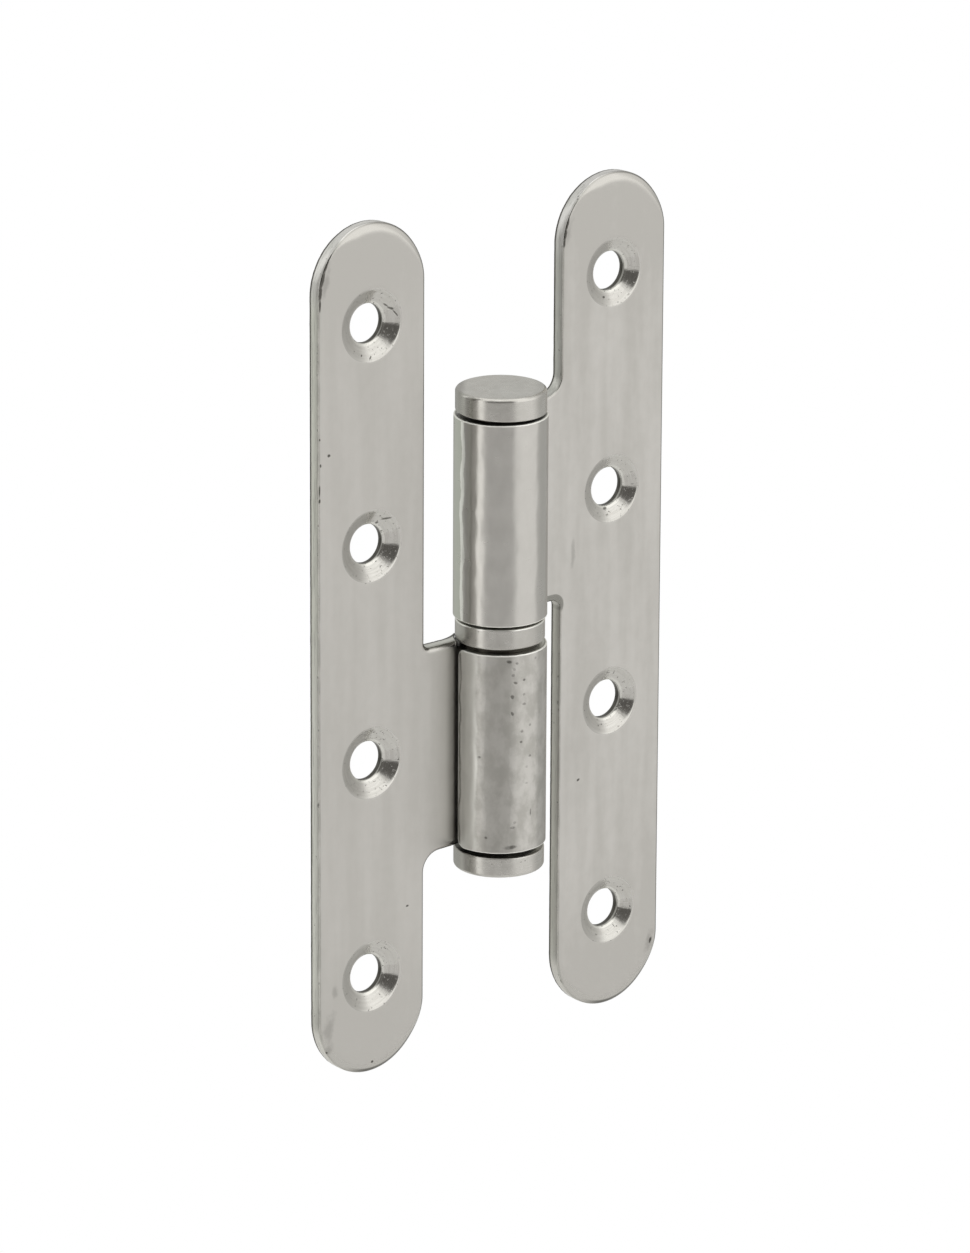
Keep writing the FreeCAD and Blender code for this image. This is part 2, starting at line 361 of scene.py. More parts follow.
def leaf_shape(mouth_radius, turned_over):
    """The leaf as one closed shape, still flat: vertices, what each knows of the border, faces and slots.

    A vertex knows its distance from the outline, and the painted edge shade and the grime and painted
    shade there. In the notch of the turned-over leaf that distance is kept short, so that the painted
    shade covers the whole of its rollover.
    """
    outline = blank_outline()
    points = np.array([p for p, out in outline])
    outs = np.array([out for p, out in outline])
    beside_ring, in_notch, beside_cap = stretches(points)
    share, edge_shade, grime_and_shade = outline_wear(points, outs, turned_over)
    blank, border, faces, slots = [], [], [], []
    count = len(points)
    edge = [
        sheared_rows(u, v, scale, KNUCKLE_ROUNDING if crisp else BACK_ROUNDING)
        for (u, v), scale, crisp in zip(points, share, beside_ring | beside_cap)
    ]
    row_count = len(edge[0])
    near_shoulder = np.clip(1 - np.abs(points[:, 0] - shoulder_u) / FACED_REACH, 0, 1) * beside_ring
    for j in range(row_count):
        for k in range(count):
            inset, depth = edge[k][j]
            moved = near_shoulder[k] * (np.interp(depth, FACED_DEPTHS, faced_ends) - shoulder_u)
            u, v = points[k] - outs[k] * inset
            blank.append((u + moved, v, depth))
            known_inset = inset * NOTCH_SPREAD if turned_over and in_notch[k] else inset
            border.append((known_inset, edge_shade[k], grime_and_shade[k]))
    for j in range(row_count - 1):
        faces += band(j * count, (j + 1) * count, count)
        slots += [SHEET_SLOT if j < ROLLOVER_ROWS else EDGE_SLOT] * count
    rims = {"face": [], "back": []}
    down = hole_rows(mouth_radius)
    for height in hole_heights:
        first = len(blank)
        for radius, depth in down:
            blank += circle((middle_u, height), radius, depth, HOLE_STEPS)
        for j in range(len(down) - 1):
            upper = first + j * HOLE_STEPS
            faces += band(upper, upper + HOLE_STEPS, HOLE_STEPS)
            slots += [SHEET_SLOT if j in (0, len(down) - 2) else CONE_SLOT] * HOLE_STEPS
        last = first + (len(down) - 1) * HOLE_STEPS
        rims["face"].append(range(first, first + HOLE_STEPS))
        rims["back"].append(range(last, last + HOLE_STEPS))
    for side, ring, depth, margin in (
        ("face", range(count), 0.0, ROLLOVER_WIDTH),
        ("back", range((row_count - 1) * count, row_count * count), SHEET, BACK_ROUNDING),
    ):
        grid = grid_points(margin)
        loop = [blank[k][:2] for k in ring]
        circles = [[blank[k][:2] for k in rim] for rim in rims[side]]
        known = list(ring) + [k for rim in rims[side] for k in rim]
        known += range(len(blank), len(blank) + len(grid))
        blank += [(u, height, depth) for u, height in grid]
        for corners in filled(loop, circles, grid):
            faces.append([known[k] for k in corners])
            slots.append(SHEET_SLOT)
    border += [(AWAY_FROM_BORDER, 0.0, 0.0)] * (len(blank) - len(border))
    return np.array(blank), np.array(border), faces, slots


def face_outward(mesh):
    """Turn every face of a closed mesh outward."""
    shaped = bmesh.new()
    shaped.from_mesh(mesh)
    bmesh.ops.recalc_face_normals(shaped, faces=shaped.faces)
    shaped.to_mesh(mesh)
    shaped.free()


def put_in_scene(name, mesh):
    """The object of a finished mesh, shaded so that its large faces stay flat."""
    piece = bpy.data.objects.new(name, mesh)
    bpy.context.scene.collection.objects.link(piece)
    even = piece.modifiers.new("even_shading", "WEIGHTED_NORMAL")
    even.mode = "FACE_AREA"
    even.weight = 50
    return piece


def leaf_piece(name, mouth_radius, turned_over):
    """The leaf with its tab rolled. Its mesh keeps each vertex's place on the blank, and a grain map."""
    blank, border, faces, slots = leaf_shape(mouth_radius, turned_over)
    places = rolled(blank) * MM
    if turned_over:
        places *= (-1, 1, -1)
    mesh = bpy.data.meshes.new(name)
    mesh.from_pydata(places.tolist(), [], faces)
    face_outward(mesh)
    for label, values in (("blank", blank), ("border", border)):
        kept = mesh.attributes.new(label, "FLOAT_VECTOR", "POINT")
        kept.data.foreach_set("vector", values.ravel())
    grain = mesh.uv_layers.new(name="grain")
    for polygon, slot in zip(mesh.polygons, slots):
        corners = blank[list(polygon.vertices)]
        if slot == SHEET_SLOT and corners[:, 0].min() > bend_end_u - 1.0:
            slot = ROLL_SLOT
        polygon.material_index = slot
        polygon.use_smooth = True
        for loop_index, (u, v, n) in zip(polygon.loop_indices, corners):
            along, across = (v, u) if slot == ROLL_SLOT else (u, v)
            if slot == CONE_SLOT:
                height = min(hole_heights, key=lambda hole: abs(hole - v))
                along = n - math.hypot(u - middle_u, v - height)
                across = math.atan2(v - height, u - middle_u)
            grain.data[loop_index].uv = (along, across)
    return put_in_scene(name, mesh)


class Nodes:
    """Adds nodes to one tree. Every method but show gives back the new node's output."""

    def __init__(self, tree):
        self.tree = tree
        tree.nodes.clear()

    def put(self, kind, values, output=0, **settings):
        node = self.tree.nodes.new("ShaderNode" + kind)
        for name, value in settings.items():
            setattr(node, name, value)
        for socket, value in values.items():
            if isinstance(value, bpy.types.NodeSocket):
                self.tree.links.new(value, node.inputs[socket])
            else:
                node.inputs[socket].default_value = value
        return node.outputs[output]

    def show(self, kind, surface):
        output = self.tree.nodes.new("ShaderNode" + kind)
        self.tree.links.new(surface, output.inputs["Surface"])

    def math(self, operation, *values):
        return self.put("Math", dict(enumerate(values)), operation=operation)

    def times(self, first, second):
        return self.math("MULTIPLY", first, second)

    def plus(self, first, second):
        return self.math("ADD", first, second)

    def larger(self, first, second):
        return self.math("MAXIMUM", first, second)

    def vector(self, x, y, z):
        return self.put("CombineXYZ", {"X": x, "Y": y, "Z": z})

    def length(self, vector):
        return self.put("VectorMath", {0: vector}, "Value", operation="LENGTH")

    def split(self, vector):
        return [self.put("SeparateXYZ", {"Vector": vector}, part) for part in "XYZ"]

    def between(self, value, low, high, at_low=0.0, at_high=1.0):
        values = {"Value": value, "From Min": low, "From Max": high, "To Min": at_low, "To Max": at_high}
        return self.put("MapRange", values, "Result", interpolation_type="SMOOTHSTEP")

    def mixed(self, share, first, second):
        return self.put("Mix", {0: share, 6: first, 7: second}, 2, data_type="RGBA")


FLATTENED = 1000.0
MICRON = 1e-6


class Finish(Nodes):
    """A steel finish in the making."""

    def __init__(self, name):
        self.material = bpy.data.materials.new(name)
        self.material.use_nodes = True
        super().__init__(self.material.node_tree)
        self.steel = self.tree.nodes.new("ShaderNodeBsdfPrincipled")
        self.steel.inputs["Metallic"].default_value = 1.0
        self.show("OutputMaterial", self.steel.outputs[0])

    def blank(self):
        """Along the sheet, up it and below its face, in millimetres."""
        return self.put("Attribute", {}, "Vector", attribute_name="blank")

    def border(self):
        """Distance from the outline in mm, then the painted edge shade, and grime and painted shade."""
        return self.split(self.put("Attribute", {}, "Vector", attribute_name="border"))

    def noise(self, place, scales, detail=2.0, roughness=0.5, seed=0.0):
        """Noise from 0 to 1 with its own scale along, up and into the sheet."""
        moved = self.put("Mapping", {"Vector": place, "Location": (seed, seed, seed), "Scale": scales})
        values = {"Vector": moved, "Scale": 1.0, "Detail": detail, "Roughness": roughness}
        return self.put("TexNoise", values)

    def marks(self, place, ragged, spots):
        """Where some marks lie: (along, up, half length, half width, lean in degrees) for each."""
        found = 0.0
        for along, up, length, width, lean in spots:
            values = {
                "Vector": place, "Location": (along, up, 0),
                "Rotation": (0, 0, math.radians(lean)), "Scale": (length, width, FLATTENED),
            }
            near = self.put("Mapping", values, vector_type="TEXTURE")
            found = self.larger(found, self.between(self.plus(self.length(near), ragged), 1.9, 1.1))
        return found

    def patches_along_edge(self, place, seed):
        """Grime and painted shade along an edge come and go: from a quarter to the whole of it."""
        cloud = self.noise(place, (0.4, 0.22, 0.4), 4.0, 0.6, seed + 3)
        return self.between(cloud, 0.36, 0.62, 0.25, 1.0)

    def laid(self, shade, colour, share, amount=1.0):
        """The shade with a colour laid over it where the share says, at most by the amount."""
        return self.mixed(self.times(share, amount), shade, colour)

    def relief(self, *parts):
        """Height in metres from (pattern, microns) pairs."""
        height = 0.0
        for pattern, microns in parts:
            height = self.math("MULTIPLY_ADD", pattern, microns * MICRON, height)
        return height

    def wear(self, colour, roughness, height):
        """Give the steel its colour, its roughness and its relief."""
        self.tree.links.new(colour, self.steel.inputs["Base Color"])
        self.tree.links.new(roughness, self.steel.inputs["Roughness"])
        bump = self.put("Bump", {"Height": height, "Strength": 1.0, "Distance": 1.0})
        self.tree.links.new(bump, self.steel.inputs["Normal"])

    def grained(self, amount):
        """Stretch the gloss across the grain, which runs along the second direction of the grain map."""
        self.steel.inputs["Anisotropic"].default_value = amount
        tangent = self.put("Tangent", {}, direction_type="UV_MAP", uv_map="grain")
        self.tree.links.new(tangent, self.steel.inputs["Tangent"])


SHEET_COLOUR = (0.625, 0.611, 0.582, 1)
SHEET_DARK = (0.575, 0.562, 0.532, 1)
LOWER_EDGE_COLOUR = (0.87, 0.87, 0.82, 1)
LOWER_EDGE_STAINED = (0.84, 0.84, 0.78, 1)
# Painted highlight for the edge at the top end, and painted shade for it at the lower end.
TOP_EDGE_HIGHLIGHT = (0.84, 0.825, 0.815, 1)
LOW_EDGE_SHADE = (0.66, 0.65, 0.61, 1)
# Light colour of painted highlights on the knuckles, their rims and the ring's top corner.
HIGHLIGHT_COLOUR = (0.92, 0.92, 0.88, 1)
# Dull grey of the torn edge, also laid with grime and as painted shade in the notch by the ring.
TORN_AND_SHADE_COLOUR = (0.36, 0.36, 0.33, 1)
# Near-black for pits, nicks and marks, and for painted shade.
PIT_AND_SHADE_COLOUR = (0.07, 0.067, 0.058, 1)
# Colour of the knuckle's mottled stain, also laid as a painted shade band on the lower knuckle.
STAIN_AND_SHADE_COLOUR = (0.44, 0.43, 0.40, 1)
CONE_COLOUR = (0.64, 0.63, 0.60, 1)


def satin_sheet(name, seed, colour, nicks_and_creases, soft_patches, hangs):
    """The flat faces: satin sheet with a faint upright grain, slow tone bands, nicks, creases darkened
    with painted shade, soft dark patches, and painted shade along the edges and at the bend.

    hangs is 1 where the blank's upward direction is up on the hinge and -1 where it is down.
    """
    finish = Finish(name)
    place = finish.blank()
    inset, edge_shade, grime_and_shade = finish.border()
    u, v, n = finish.split(place)
    in_front = finish.math("LESS_THAN", n, SHEET / 2)
    grain = finish.noise(place, (9.0, 0.2, 1.0), 4.0, seed=seed)
    bands = finish.noise(place, (0.30, 0.03, 0.1), 2.0, seed=seed)
    mottle = finish.noise(place, (0.5, 0.35, 0.5), 5.0, 0.6, seed)
    fine = finish.noise(place, (2.5, 2.0, 2.5), 3.0, 0.6, seed)
    # Nicks, and creases darkened with painted shade.
    nick_and_crease_shade = finish.times(finish.marks(place, fine, nicks_and_creases), in_front)
    # Soft dark patches: painted shade beside the creases, and darker patches elsewhere.
    soft_patch = finish.times(finish.marks(place, finish.times(mottle, 2.2), soft_patches), in_front)
    # Painted shade on the face where the tab bends back towards the knuckle.
    bend_shade = finish.between(u, -BEND_START - 0.8, -BEND_START + 1.4, 0.0, 0.45)
    patches = finish.larger(finish.patches_along_edge(place, seed), finish.between(grime_and_shade, 1.05, 1.2))
    # A grey band in the rollover: grime on the left sides, and painted shade in the notch by the ring.
    grey_band = finish.times(finish.between(inset, 0.42, 0.12), finish.times(grime_and_shade, patches))
    foot = finish.between(finish.times(v, hangs), 8.0 - end_v, -2.0 - end_v)
    # The drawn-down rollover near the lower end gets painted shade on the edge-shade sides.
    drawn_down = finish.times(finish.between(n, 0.12, 0.30), finish.between(edge_shade, 0.1, 0.9))
    drawn_down = finish.times(finish.times(drawn_down, foot), in_front)
    # A thin painted dark line of shade along the right and lower edges, and a painted shadow where the
    # knuckle's faced end begins.
    dark_line = finish.larger(finish.times(finish.between(inset, 0.38, 0.10), edge_shade), drawn_down)
    dark_line = finish.larger(dark_line, finish.between(grime_and_shade, 1.4, 1.8))
    tone = finish.plus(
        finish.between(bands, 0.3, 0.7, 0.0, 0.75), finish.between(mottle, 0.3, 0.7, 0.0, 0.3)
    )
    tone = finish.plus(tone, finish.between(finish.math("ABSOLUTE", v), 42, 64, 0.0, 0.75))
    shade = finish.mixed(tone, colour, SHEET_DARK)
    shade = finish.laid(shade, PIT_AND_SHADE_COLOUR, bend_shade, in_front)
    shade = finish.laid(shade, PIT_AND_SHADE_COLOUR, soft_patch, 0.25)
    shade = finish.laid(shade, TORN_AND_SHADE_COLOUR, grey_band, 0.6)
    shade = finish.laid(shade, PIT_AND_SHADE_COLOUR, dark_line, 0.85)
    shade = finish.laid(shade, PIT_AND_SHADE_COLOUR, nick_and_crease_shade, 0.9)
    roughness = finish.between(finish.plus(grain, mottle), 0.6, 1.4, 0.30, 0.38)
    roughness = finish.math("MULTIPLY_ADD", finish.between(n, 0.01, 0.10), -0.14, roughness)
    finish.wear(shade, roughness, finish.relief((grain, 1.2), (mottle, 5), (nick_and_crease_shade, -25)))
    finish.grained(0.4)
    return finish.material


def sheared_edge(name, seed, colour, stained, clean_below, hangs):
    """The edge all round: burnished where it was cut, dull and dark where it tore, stained in part.

    The blank is clean below one height and stained above it. hangs is as for the faces.
    """
    finish = Finish(name)
    place = finish.blank()
    edge_shade, grime_and_shade = finish.border()[1:]
    u, v, n = finish.split(place)
    up = finish.times(v, hangs)
    rough = finish.noise(place, (2.6, 1.2, 2.6), 5.0, 0.65, seed)
    drawn = finish.noise(place, (0.6, 0.6, 5.0), 3.0, 0.5, seed)
    streaks = finish.noise(place, (0.5, 0.16, 4.0), 4.0, 0.6, seed)
    specks = finish.noise(place, (1.8, 0.9, 1.8), 3.0, 0.6, seed)
    torn = finish.between(finish.math("MULTIPLY_ADD", rough, 0.5, n), 2.1, 2.4)
    patches = finish.patches_along_edge(place, seed)
    # Grime near the face on the left sides, and painted shade in the notch.
    corner = finish.times(finish.between(n, 0.62, 0.30), finish.times(grime_and_shade, patches))
    speck = finish.times(finish.between(n, 0.8, 0.4), finish.between(specks, 0.64, 0.68))
    speck = finish.larger(speck, finish.between(specks, 0.70, 0.74))
    # Painted shade along the back corner off the knuckle, which darkens the outline.
    back = finish.between(n, 1.83, 2.08, 0.0, 0.9)
    back = finish.times(back, finish.between(u, bend_end_u, bend_end_u - 1.0))
    # Painted highlight along the knuckle's outer rim at its ends.
    end_highlight = finish.times(finish.between(n, 2.16, 2.36), finish.between(u, bend_end_u, bend_end_u + 1.0))
    # Painted shade near the face on the edge-shade sides, and a painted shadow where the knuckle's faced
    # end begins.
    edge_and_gap_shade = finish.times(finish.between(n, 1.1, 0.6, 0.0, 0.8), edge_shade)
    edge_and_gap_shade = finish.larger(finish.between(grime_and_shade, 1.5, 1.9), edge_and_gap_shade)
    height = finish.math("MULTIPLY_ADD", rough, 20.0, v)
    shade = finish.mixed(finish.between(height, clean_below, clean_below + 20.0), colour, stained)
    # Painted highlight on the edge at the top end, painted shade on it at the lower end.
    shade = finish.laid(shade, TOP_EDGE_HIGHLIGHT, finish.between(up, end_v - 3.0, end_v + 2.0), 0.8)
    shade = finish.laid(shade, LOW_EDGE_SHADE, finish.between(up, 8.0 - end_v, -2.0 - end_v), 0.8)
    shade = finish.laid(shade, TORN_AND_SHADE_COLOUR, finish.between(streaks, 0.52, 0.66), 0.45)
    # Painted shade in the notch by the ring and where the knuckle's faced end begins.
    shade = finish.laid(shade, TORN_AND_SHADE_COLOUR, finish.between(grime_and_shade, 1.05, 1.2), 0.35)
    shade = finish.laid(shade, TORN_AND_SHADE_COLOUR, torn, 0.75)
    shade = finish.laid(shade, TORN_AND_SHADE_COLOUR, corner, 0.5)
    shade = finish.laid(shade, HIGHLIGHT_COLOUR, end_highlight)
    # Painted shade on the back corner, and dark specks.
    shade = finish.laid(shade, PIT_AND_SHADE_COLOUR, finish.larger(back, finish.times(speck, 0.75)))
    shade = finish.laid(shade, PIT_AND_SHADE_COLOUR, edge_and_gap_shade)
    roughness = finish.between(finish.plus(torn, rough), 0.4, 1.5, 0.32, 0.5)
    broken = finish.times(torn, rough)
    finish.wear(shade, roughness, finish.relief((rough, 10), (drawn, 6), (broken, 25), (speck, -25)))
    return finish.material


def countersink(name, seed, scratches, hangs):
    """The screw holes: cut by a countersink bit, with its rings, some chatter and a few torn spots.

    The left side of each cone as the hinge hangs is duller and has painted shade, and the bore has
    painted shade that deepens further in.
    """
    finish = Finish(name)
    place = finish.blank()
    u, v, n = finish.split(place)
    across = finish.math("SUBTRACT", u, middle_u)
    from_gap = finish.math("SUBTRACT", v, HOLE_PITCH / 2)
    up = finish.math("WRAP", from_gap, HOLE_PITCH / 2, -HOLE_PITCH / 2)
    radius = finish.length(finish.vector(across, up, 0.0))
    turned = finish.vector(radius, finish.math("ARCTAN2", up, across), finish.times(v, 0.3))
    rings = finish.noise(turned, (3.6, 1.1, 0.1), 5.0, 0.65, seed)
    chatter = finish.noise(turned, (0.7, 7.0, 0.1), 2.0, seed=seed)
    torn = finish.noise(place, (2.4, 2.4, 1.0), 4.0, 0.6, seed)
    spot = finish.larger(finish.between(torn, 0.63, 0.70), finish.marks(place, torn, scratches))
    land = finish.between(radius, HOLE_RADIUS + 0.06, HOLE_RADIUS + 0.02)
    land = finish.times(land, finish.between(n, 0.9, 1.1))
    wavering = finish.math("MULTIPLY_ADD", rings, 0.3, radius)
    burnished = finish.between(wavering, HOLE_RADIUS + 0.62, HOLE_RADIUS + 0.45)
    leftward = finish.math("DIVIDE", finish.times(across, hangs), radius)
    shade = finish.mixed(finish.between(rings, 0.35, 0.65), CONE_COLOUR, SHEET_DARK)
    shade = finish.laid(shade, LOWER_EDGE_COLOUR, burnished, 0.5)
    shade = finish.laid(shade, PIT_AND_SHADE_COLOUR, spot, 0.8)
    # Painted shade down the bore, darker further in.
    shade = finish.laid(shade, PIT_AND_SHADE_COLOUR, land, finish.between(n, 1.5, 1.75, 0.35, 0.95))
    # Painted shade on the left side of each cone.
    shade = finish.laid(shade, PIT_AND_SHADE_COLOUR, finish.between(leftward, 0.1, -0.5), 0.22)
    roughness = finish.between(finish.plus(torn, land), 0.4, 1.4, 0.13, 0.30)
    roughness = finish.plus(roughness, finish.between(leftward, 0.2, -0.5, 0.0, 0.35))
    finish.wear(shade, roughness, finish.relief((rings, 3), (chatter, 12), (spot, -25)))
    finish.grained(0.6)
    return finish.material


WAVINESS = 0.7
WAVE_HEIGHT = 110
LIP_HEIGHT = 90


def rolled_knuckle(name, seed, roughest, grain, stained, painted_bands, pits):
    """The knuckle: smoothed round by the rolling tool, with waves, painted bands, scratches and pits.

    The painted bands stand in for the reflections, highlights and shade that run up the knuckle. Each
    is given as where it starts and ends along the sheet, how soft its sides are, its colour and how
    much of it shows.
    """
    finish = Finish(name)
    place = finish.blank()
    u = finish.split(place)[0]
    scratches = finish.noise(place, (0.12, 6.0, 1.0), 4.0, seed=seed)
    waves = finish.noise(place, (0.5, 0.22, 0.3), 1.0, seed=seed)
    mottle = finish.noise(place, (0.55, 0.3, 0.5), 5.0, 0.6, seed)
    fine = finish.noise(place, (1.6, 1.6, 1.6), 3.0, 0.6, seed)
    wavy = finish.math("MULTIPLY_ADD", waves, 1.2, finish.math("MULTIPLY_ADD", fine, 0.2, u))
    pit = finish.marks(place, fine, pits)
    lip = finish.between(u, free_u - 1.3, free_u - 0.7)
    shade = finish.mixed(finish.between(mottle, 0.35, 0.65, 0.0, stained), SHEET_COLOUR, STAIN_AND_SHADE_COLOUR)
    # Lay each painted band of light and shade.
    for start, end, soft, colour, amount in painted_bands:
        after_start = finish.between(wavy, start + WAVINESS - soft, start + WAVINESS + soft)
        before_end = finish.between(wavy, end + WAVINESS + soft, end + WAVINESS - soft, 0.0, amount)
        shade = finish.laid(shade, colour, after_start, before_end)
    shade = finish.laid(shade, PIT_AND_SHADE_COLOUR, pit, finish.between(mottle, 0.35, 0.65, 0.2, 0.75))
    roughness = finish.between(finish.plus(scratches, mottle), 0.6, 1.4, roughest - 0.06, roughest)
    height = finish.relief((scratches, 1.0), (waves, WAVE_HEIGHT), (lip, LIP_HEIGHT), (pit, -25))
    finish.wear(shade, roughness, height)
    finish.grained(grain)
    return finish.material


LOWER_NICKS = (
    (-25.5, 12.2, 0.45, 0.14, 30), (-17.3, -43.5, 0.25, 0.16, 0), (-24.4, -68.3, 0.25, 0.2, 0),
    (-33.5, -64.8, 0.3, 0.22, 20), (-33.0, 34.2, 0.26, 0.24, 0), (-34.65, 32.9, 0.14, 0.26, 0),
    (-34.82, 28.9, 0.9, 0.10, 88), (-34.82, 27.2, 0.3, 0.15, 90), (-34.8, 37.1, 0.2, 0.12, 90),
)
# Creases left by the punch, darkened with painted shade.
LOWER_SHADED_CREASES = (
    (-32.7, 66.1, 0.9, 0.16, 58), (-33.55, 64.5, 1.2, 0.24, 63), (-34.2, 62.6, 1.4, 0.34, 74),
    (-34.6, 60.6, 1.3, 0.28, 84), (-34.7, 58.6, 1.0, 0.18, 89),
)
# Soft dark patches: painted shade beside the creases, and darker patches elsewhere.
LOWER_SOFT_PATCHES = (
    (-33.1, -60.6, 4.2, 1.9, 90), (-31.9, -54.5, 2.4, 1.0, 90), (-33.2, -64.5, 2.2, 1.2, 60),
    (-33.5, 62.0, 5.5, 0.9, 76),
)
LOWER_CONE_SCRATCHES = (
    (-21.1, 56.2, 0.5, 0.12, -38), (-20.3, 55.6, 0.5, 0.16, -20), (-19.6, 54.8, 0.6, 0.11, -52),
    (-21.3, 21.7, 0.75, 0.16, 4), (-22.6, 21.1, 0.22, 0.18, 0), (-26.2, 49.0, 0.2, 0.12, 30),
    (-24.6, 48.4, 0.35, 0.12, 40), (-22.6, -55.0, 0.3, 0.1, 30),
)
# Painted bands on the lower knuckle: a painted highlight beside the free edge, a painted shade band,
# painted shade on the right, and at the free edge a painted highlight with a thin painted dark line.
LOWER_PAINTED_BANDS = (
    (27.9, 30.7, 0.25, HIGHLIGHT_COLOUR, 0.73), (23.2, 26.6, 0.10, STAIN_AND_SHADE_COLOUR, 0.35),
    (0.0, 18.9, 0.5, PIT_AND_SHADE_COLOUR, 0.2), (31.05, 34.0, 0.06, HIGHLIGHT_COLOUR, 0.8),
    (30.75, 30.95, 0.05, PIT_AND_SHADE_COLOUR, 0.3),
)
LOWER_PITS = (
    (23.46, -3.3, 0.35, 0.25, 10), (22.4, -3.7, 0.2, 0.2, 0), (22.8, -4.6, 0.3, 0.2, 60),
    (22.9, -5.6, 0.25, 0.25, 0), (22.6, -6.9, 0.3, 0.2, 30), (21.3, -6.6, 0.2, 0.2, 0),
    (23.0, -9.2, 0.25, 0.3, 0), (21.3, -9.0, 0.2, 0.2, 0), (21.3, -10.6, 0.25, 0.2, 0),
    (23.0, -12.0, 0.3, 0.2, 70), (20.3, -14.3, 0.2, 0.2, 0), (21.6, -15.1, 0.2, 0.25, 0),
    (21.7, -16.9, 0.2, 0.2, 0), (20.3, -19.5, 0.2, 0.2, 0), (20.8, -21.2, 0.2, 0.2, 0),
    (20.8, -24.0, 0.2, 0.2, 0), (20.1, -29.0, 0.5, 0.12, 90), (27.4, -19.4, 0.2, 0.2, 0),
    (19.3, -3.4, 0.2, 0.2, 0), (22.9, -31.1, 0.35, 0.2, 0), (26.4, -32.8, 0.2, 0.2, 0),
    (23.2, -34.4, 0.9, 0.3, 0), (22.6, -30.3, 0.2, 0.2, 0),
)
lower_leaf = leaf_piece("rolled_lower_leaf", MOUTH_RADIUS, turned_over=False)
for material in (
    satin_sheet(
        "lower_satin_sheet", 1.0, SHEET_COLOUR, LOWER_NICKS + LOWER_SHADED_CREASES, LOWER_SOFT_PATCHES, hangs=1
    ),
    sheared_edge("lower_sheared_edge", 1.0, LOWER_EDGE_COLOUR, LOWER_EDGE_STAINED, 0.0, hangs=1),
    countersink("lower_countersinks", 1.0, LOWER_CONE_SCRATCHES, hangs=1),
    rolled_knuckle("lower_rolled_knuckle", 1.0, 0.44, 0.5, 0.75, LOWER_PAINTED_BANDS, LOWER_PITS),
):
    lower_leaf.data.materials.append(material)
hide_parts("lower_leaf")
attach(lower_leaf, "frame_side")

# Upper leaf
# The same stamping turned over end for end, so that its knuckle is the upper one and slides on to
# the pin. Its knuckle came out of the roll smoother and brighter. It is screwed to the door.
# The upper leaf's sheet is painted lighter than the lower leaf's, as painted light.
UPPER_SHEET_LIT_COLOUR = (0.665, 0.651, 0.622, 1)
UPPER_EDGE_COLOUR = (0.62, 0.62, 0.59, 1)
UPPER_EDGE_STAINED = (0.60, 0.59, 0.545, 1)
UPPER_MOUTH_RADIUS = 5.4
UPPER_NICKS = ((-18.0, 30.0, 0.3, 0.2, 30), (-33.69, 61.15, 0.5, 0.25, 70))
# Creases on the upper leaf, darkened with painted shade.
UPPER_SHADED_CREASES = (
    (-15.2, -64.6, 0.9, 0.14, 62), (-14.8, -63.0, 1.1, 0.22, 72), (-14.4, -61.5, 1.1, 0.28, 78),
    (-14.25, -60.2, 0.8, 0.18, 86),
)
# Soft dark patches: painted shade beside the creases, and darker patches elsewhere.
UPPER_SOFT_PATCHES = ((-33.4, 61.2, 3.2, 1.2, 70), (-15.0, -61.5, 3.5, 1.1, 76), (-16.5, -8.0, 5.0, 0.7, 88))
UPPER_CONE_SCRATCHES = ((-24.0, -14.4, 0.35, 0.2, 0), (-23.0, -49.7, 0.25, 0.15, 0))
# Painted bands on the upper knuckle: a greenish painted reflection and a painted highlight on the left, and
# painted shade on the right.
GREENISH_REFLECTION = (0.55, 0.57, 0.51, 1)
UPPER_PAINTED_BANDS = (
    (7.0, 9.9, 0.20, GREENISH_REFLECTION, 0.8), (9.85, 10.45, 0.08, HIGHLIGHT_COLOUR, 1.0),
    (21.5, 40.0, 0.4, PIT_AND_SHADE_COLOUR, 0.22),
)
upper_leaf = leaf_piece("rolled_upper_leaf", UPPER_MOUTH_RADIUS, turned_over=True)
for material in (
    satin_sheet(
        "upper_satin_sheet", 11.0, UPPER_SHEET_LIT_COLOUR, UPPER_NICKS + UPPER_SHADED_CREASES, UPPER_SOFT_PATCHES, hangs=-1
    ),
    sheared_edge("upper_sheared_edge", 11.0, UPPER_EDGE_COLOUR, UPPER_EDGE_STAINED, -24.0, hangs=-1),
    countersink("upper_countersinks", 11.0, UPPER_CONE_SCRATCHES, hangs=-1),
    rolled_knuckle("upper_rolled_knuckle", 11.0, 0.33, 0.8, 0.12, UPPER_PAINTED_BANDS, ()),
):
    upper_leaf.data.materials.append(material)
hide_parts("upper_leaf")
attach(upper_leaf, "door_side")

# Hinge pin
# A turned and ground steel pin with a domed top. Its lower half is pressed into the lower knuckle
# and its upper half runs in the upper one, so it shows only with the door lifted off.
PIN_RADIUS = 5.0
TURNED_STEPS = 192


